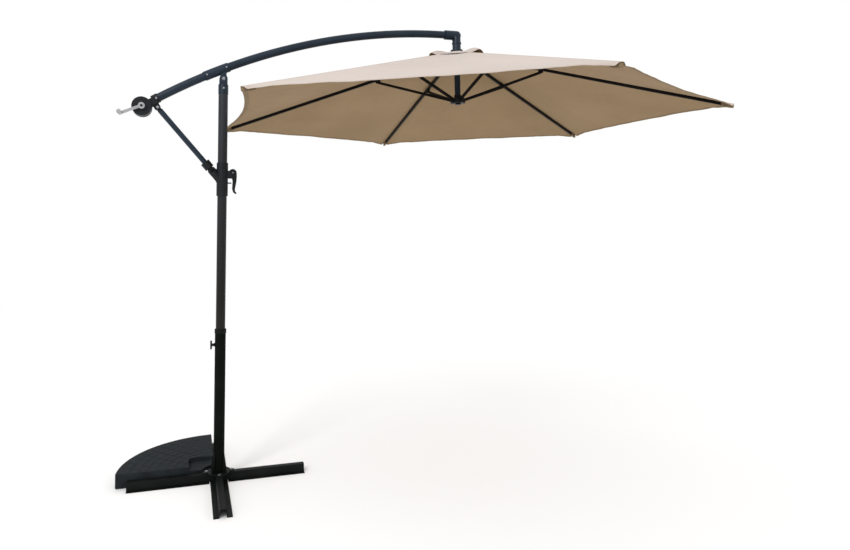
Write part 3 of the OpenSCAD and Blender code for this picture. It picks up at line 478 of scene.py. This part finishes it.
def build(name, points, faces, materials, uvs=None, indices=None, sharp=40, from_rib=None):
    """A smooth mesh piece, its faces turned outwards.

    from_rib holds each point's distance from its rib, and how creased its panel is.
    """
    mesh = bpy.data.meshes.new(name)
    mesh.from_pydata([tuple(p) for p in points], [], faces)
    for material in materials:
        mesh.materials.append(material)
    if indices:
        mesh.polygons.foreach_set("material_index", indices)
    if uvs:
        layer = mesh.uv_layers.new(name="metres")
        for loop in mesh.loops:
            layer.data[loop.index].uv = uvs[loop.vertex_index]
    if from_rib:
        layer = mesh.uv_layers.new(name="from_rib")
        for loop in mesh.loops:
            layer.data[loop.index].uv = from_rib[loop.vertex_index]
    mesh.polygons.foreach_set("use_smooth", [True] * len(mesh.polygons))
    work = bmesh.new()
    work.from_mesh(mesh)
    bmesh.ops.recalc_face_normals(work, faces=work.faces)
    work.to_mesh(mesh)
    work.free()
    mesh.set_sharp_from_angle(angle=math.radians(sharp))
    piece = bpy.data.objects.new(name, mesh)
    bpy.context.scene.collection.objects.link(piece)
    return piece


def grid_faces(rows, columns, offset=0, flip=False):
    """Quads of a grid whose points are listed row by row."""
    faces = []
    for i in range(rows - 1):
        for j in range(columns - 1):
            a = offset + i * columns + j
            quad = (a, a + 1, a + columns + 1, a + columns)
            faces.append(quad[::-1] if flip else quad)
    return faces


def sheet_faces(rows, columns):
    """Faces of a thin closed sheet, its upper grid first, and each face's material."""
    count = rows * columns
    faces = grid_faces(rows, columns) + grid_faces(rows, columns, count, flip=True)
    indices = [0] * (len(faces) // 2) + [1] * (len(faces) // 2)
    rim = list(range(columns))
    rim += [i * columns + columns - 1 for i in range(1, rows)]
    rim += [(rows - 1) * columns + j for j in range(columns - 2, -1, -1)]
    rim += [i * columns for i in range(rows - 2, 0, -1)]
    for a, b in zip(rim, rim[1:] + rim[:1]):
        faces.append((a, a + count, b + count, b))
        indices.append(0)
    return faces, indices


def strip_faces(steps, width):
    """Faces of a closed strip swept from a profile of width points."""
    faces = grid_faces(steps, width)
    for n in range(steps - 1):
        a, b = n * width, (n + 1) * width
        faces.append((a + width - 1, a, b, b + width - 1))
    return faces + [tuple(range(width)), tuple((steps - 1) * width + i for i in range(width - 1, -1, -1))]


def settle(piece, k):
    """Rides on rib k, with a mesh of its own."""
    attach(piece, f"rib_{k}")
    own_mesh(piece)
    return piece


ROWS, COLUMNS = 60, 73
# Powers that draw the columns in to the rib and the rows to the hem
RIB_CROWDING, HEM_CROWDING = 1.8, 1.3


def spread(n, count):
    """Steps from -1 to 1, close together beside the rib."""
    s = 2 * n / (count - 1) - 1
    return math.copysign(abs(s) ** RIB_CROWDING, s) if s else 0.0


def row_at(i):
    """q of row i of the cloth, the rows closer together towards the hem."""
    return 1 - (1 - i / (ROWS - 1)) ** HEM_CROWDING


def add_panel(k):
    """The cloth over rib k, a thin closed sheet, pale above and deeper below, the deeper brown being painted
    shade.
    """
    steps = [(row_at(i), spread(j, COLUMNS)) for i in range(ROWS) for j in range(COLUMNS)]
    upper = [cloth_point(k, q, s, CLOTH_THICK) for q, s in steps]
    lower = [cloth_point(k, q, s) for q, s in steps]
    uvs = [cloth_uv(q, s) for q, s in steps]
    faces, indices = sheet_faces(ROWS, COLUMNS)
    away = [
        (abs((point - CROWN).dot(AXES[k - 1])), CREASED[panel_of(k, s)])
        for point, (q, s) in zip(upper + lower, steps * 2)
    ]
    piece = build(
        f"canopy_cloth_{k}", upper + lower, faces, [CLOTH_TOP, CLOTH_UNDER_SHADED], uvs * 2, indices, from_rib=away
    )
    return settle(piece, k), area_of(upper, ROWS, COLUMNS)


def area_of(points, rows, columns):
    """Area of a grid of points listed row by row."""
    total = 0.0
    for a, b, c, d in grid_faces(rows, columns):
        total += (points[b] - points[a]).cross(points[d] - points[a]).length / 2
        total += (points[b] - points[c]).cross(points[d] - points[c]).length / 2
    return total


HEM_WIDTH = 0.022
HEM_STEPS = 145
HEM_PROFILE = [(0, 0.0010), (0.4, 0.0011), (0.85, 0.0011), (1.0, 0.0008), (1.06, 0.0), (1.0, -0.0008),
               (0.85, -0.0011), (0.4, -0.0011), (0, -0.0010)]


def hem_q(back):
    """q of a point that lies back metres in from the edge."""
    return 1 - back / (CLOTH_OUT * math.cos(SIXTH))


def add_hem(k):
    """The folded edge, wrapped round the cloth from just above it to just below."""
    points, uvs = [], []
    for n in range(HEM_STEPS):
        s = spread(n, HEM_STEPS)
        for share, rise in HEM_PROFILE:
            q = hem_q(HEM_WIDTH * (1 - share))
            points.append(cloth_point(k, q, s, CLOTH_THICK / 2 + rise))
            uvs.append(cloth_uv(q, s))
    width = len(HEM_PROFILE)
    faces = strip_faces(HEM_STEPS, width)
    half = width // 2
    ring = [0 if i < half else 1 for i in range(width - 1)]
    # The lower faces take the hem's painted-shade material.
    indices = ring * (HEM_STEPS - 1) + [1] * (HEM_STEPS - 1) + [0, 0]
    piece = build(f"hem_{k}", points, faces, [CLOTH_TOP, HEM_UNDER_SHADED], uvs, indices, sharp=70)
    return settle(piece, k)


SEAM_HALF = 0.0065
SEAM_ROWS = 90
SEAM_FROM, SEAM_TO = 0.125, 0.995
LEAST_HALF_PANEL = 0.03
SEAM_PROFILE = [(-1.0, 0.0), (-0.95, 0.0007), (-0.5, 0.0010), (0, 0.0007), (0.5, 0.0010), (0.95, 0.0007),
                (1.0, 0.0)]


def beside_rib(k, q, offset, lift):
    """A point of the cloth offset metres to one side of rib k."""
    d = CLOTH_IN + (CLOTH_OUT * math.cos(SIXTH) - CLOTH_IN) * q
    s = offset / max(d * math.tan(SIXTH), LEAST_HALF_PANEL)
    return cloth_point(k, q, s, lift)


def add_seam(k):
    """The lapped seam where two panels are sewn together over rib k."""
    points, uvs = [], []
    for i in range(SEAM_ROWS):
        q = SEAM_FROM + (SEAM_TO - SEAM_FROM) * i / (SEAM_ROWS - 1)
        for share, rise in SEAM_PROFILE:
            points.append(beside_rib(k, q, share * SEAM_HALF, CLOTH_THICK + rise))
            uvs.append((share * SEAM_HALF, q * RIB_LEN))
    faces = strip_faces(SEAM_ROWS, len(SEAM_PROFILE))
    return settle(build(f"seam_{k}", points, faces, [CLOTH_TOP], uvs, sharp=60), k)


STITCH_PITCH = 0.0062
STITCH_LONG = 0.0044
STITCH_HALF = 0.0004
HEM_TOP = CLOTH_THICK / 2 + 0.0012
SEAM_TOP = CLOTH_THICK + 0.0009
# Rows of stitches: how far in from the hem's edge, and how far to each side of the rib
HEM_ROWS = (0.004, 0.018)
RIB_ROWS = (-0.0045, 0.0045)
RIB_ROW_SPAN = 0.85


def stitch_run(place, length):
    """Short raised stitches along a line: place(share) gives a point and the way up there."""
    points, faces = [], []
    count = int(length / STITCH_PITCH)
    for n in range(count):
        middle = (n + 0.5) / count
        step = STITCH_LONG / length / 2
        ends = [place(middle - step), place(middle), place(middle + step)]
        way = (ends[2] - ends[0]).normalized()
        side = way.cross(UP).normalized() * STITCH_HALF
        base = len(points)
        for end, swell in zip(ends, (0.35, 1.0, 0.35)):
            rise = UP * STITCH_HALF * 1.3 * swell
            points += [end - side * swell, end + rise, end + side * swell, end - rise * 0.4]
        for ring in (0, 4):
            for i in range(4):
                a, b = base + ring + i, base + ring + (i + 1) % 4
                faces.append((a, b, b + 4, a + 4))
        faces += [tuple(base + i for i in (3, 2, 1, 0)), tuple(base + i for i in (8, 9, 10, 11))]
    return points, faces


def add_stitches(k):
    """Two rows of stitches along the hem and two along the seam."""
    points, faces = [], []

    def take(run):
        base = len(points)
        points.extend(run[0])
        faces.extend(tuple(base + v for v in face) for face in run[1])

    hem_length = 2 * CLOTH_OUT * math.sin(SIXTH)
    for back in HEM_ROWS:
        take(stitch_run(lambda share, b=back: cloth_point(k, hem_q(b), 2 * share - 1, HEM_TOP), hem_length))
    for offset in RIB_ROWS:
        take(stitch_run(
            lambda share, o=offset: beside_rib(k, SEAM_FROM + RIB_ROW_SPAN * share, o, SEAM_TOP), RIB_LEN
        ))
    return settle(build(f"stitches_{k}", points, faces, [THREAD], sharp=60), k)


POCKET_LONG = 0.062
POCKET_PAST = 0.006
POCKET_DEEP = 0.0145
POCKET_SKIN = 0.0005
POCKET_ROOM = 0.003
POCKET_ROWS = 18
POCKET_SIDES = 24


def rib_point(k, along, side, rise):
    """A point in rib k's own frame: along its length, to its side, and square above it."""
    way = OUTWARD[k - 1] * math.cos(RIB_SLOPE) - UP * math.sin(RIB_SLOPE)
    above = OUTWARD[k - 1] * math.sin(RIB_SLOPE) + UP * math.cos(RIB_SLOPE)
    return PINS[k - 1] + way * along + AXES[k - 1] * side + above * rise


def squared(angle):
    """Across and up factors of a rounded square's outline at an angle."""
    c, s = math.cos(angle), math.sin(angle)
    return math.copysign(abs(c) ** 0.5, c), math.copysign(abs(s) ** 0.5, s)


def add_pocket(k):
    """The cloth pocket sewn under the corner, which the end of rib k sits in."""
    points, uvs = [], []
    top = RIB_HALF_HEIGHT + POCKET_SKIN
    for i in range(POCKET_ROWS):
        share = i / (POCKET_ROWS - 1)
        along = RIB_LEN - POCKET_LONG + (POCKET_LONG + POCKET_PAST) * share
        close = math.sqrt(max(0.0, 1 - max(0.0, (share - 0.8) / 0.2) ** 2)) * 0.92 + 0.08
        belly = math.sin(math.pi * min(1.0, share * 1.25)) * 0.3 + 0.7
        wide = (RIB_HALF_WIDTH + 0.0016) * close
        deep = RIB_HALF_HEIGHT + POCKET_ROOM + (POCKET_DEEP - RIB_HALF_HEIGHT - POCKET_ROOM) * belly * close
        for n in range(POCKET_SIDES):
            across, up = squared(2 * math.pi * n / POCKET_SIDES)
            pucker = 0.0007 * math.sin(n * 2.6 + share * 9) * (1 - share)
            rise = up * top * close if up > 0 else up * deep
            points.append(rib_point(k, along, across * (wide + pucker), rise))
            uvs.append((along, n * 0.003))
    faces = []
    for i in range(POCKET_ROWS - 1):
        for n in range(POCKET_SIDES):
            a, b = i * POCKET_SIDES + n, i * POCKET_SIDES + (n + 1) % POCKET_SIDES
            faces.append((a, b, b + POCKET_SIDES, a + POCKET_SIDES))
    faces.append(tuple(range(POCKET_SIDES)))
    last = (POCKET_ROWS - 1) * POCKET_SIDES
    faces.append(tuple(last + n for n in range(POCKET_SIDES - 1, -1, -1)))
    # The pocket takes the painted-shade brown.
    piece = build(f"corner_pocket_{k}", points, faces, [POUCH_SHADED], uvs, sharp=55)
    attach(piece, f"rib_{k}")
    return piece


VENT_IN = 0.031
VENT_OUT = 0.165
# How far the vent cap's edge stands open over each panel, from ribs 1 and 2 round to 6 and 1
VENT_RISE = (0.001, 0.036, 0.018, 0.012, 0.016, 0.034)
VENT_LIFT = 0.0016
VENT_ROWS, VENT_COLUMNS = 16, 41


def add_vent(k):
    """A sixth of the vent cap: held down over each rib, arched open between the ribs."""
    upper, lower, uvs = [], [], []
    for i in range(VENT_ROWS):
        q = i / (VENT_ROWS - 1)
        for j in range(VENT_COLUMNS):
            s = 2 * j / (VENT_COLUMNS - 1) - 1
            angle = s * SIXTH
            radius = VENT_IN + (VENT_OUT - VENT_IN) * q
            way = OUTWARD[k - 1] * math.cos(angle) + AXES[k - 1] * math.sin(angle)
            flat = radius * math.cos(angle) if abs(s) < 1 else radius * math.cos(SIXTH)
            across = flat + radius * math.sin(abs(angle)) * math.tan(SIXTH)
            fall = (across - HUB_R) * math.tan(RIB_SLOPE)
            arch = VENT_RISE[panel_of(k, s)] * math.sin(math.pi / 2 * abs(s)) ** 2 * math.sin(q * 1.9) ** 2
            z = CLOTH_LIFT / math.cos(RIB_SLOPE) - fall + VENT_LIFT + 0.004 * (1 - q) + arch
            point = CROWN + way * radius + UP * z
            upper.append(point + UP * CLOTH_THICK)
            lower.append(point)
            uvs.append((radius * math.sin(angle), radius))
    faces, indices = sheet_faces(VENT_ROWS, VENT_COLUMNS)
    piece = build(f"vent_{k}", upper + lower, faces, [CLOTH_TOP, CLOTH_UNDER_SHADED], uvs * 2, indices)
    return settle(piece, k), area_of(upper, VENT_ROWS, VENT_COLUMNS)


def add_canopy():
    # A sector is a kite: its flat width is from one mid-panel corner to the other
    for k in RIBS:
        panel, area = add_panel(k)
        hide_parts(f"canopy_{k}")
        hem, seam, stitches, pocket = add_hem(k), add_seam(k), add_stitches(k), add_pocket(k)
        vent, vent_area = add_vent(k)


add_camera()
add_studio()
finish_cad_nodes()
add_canopy()
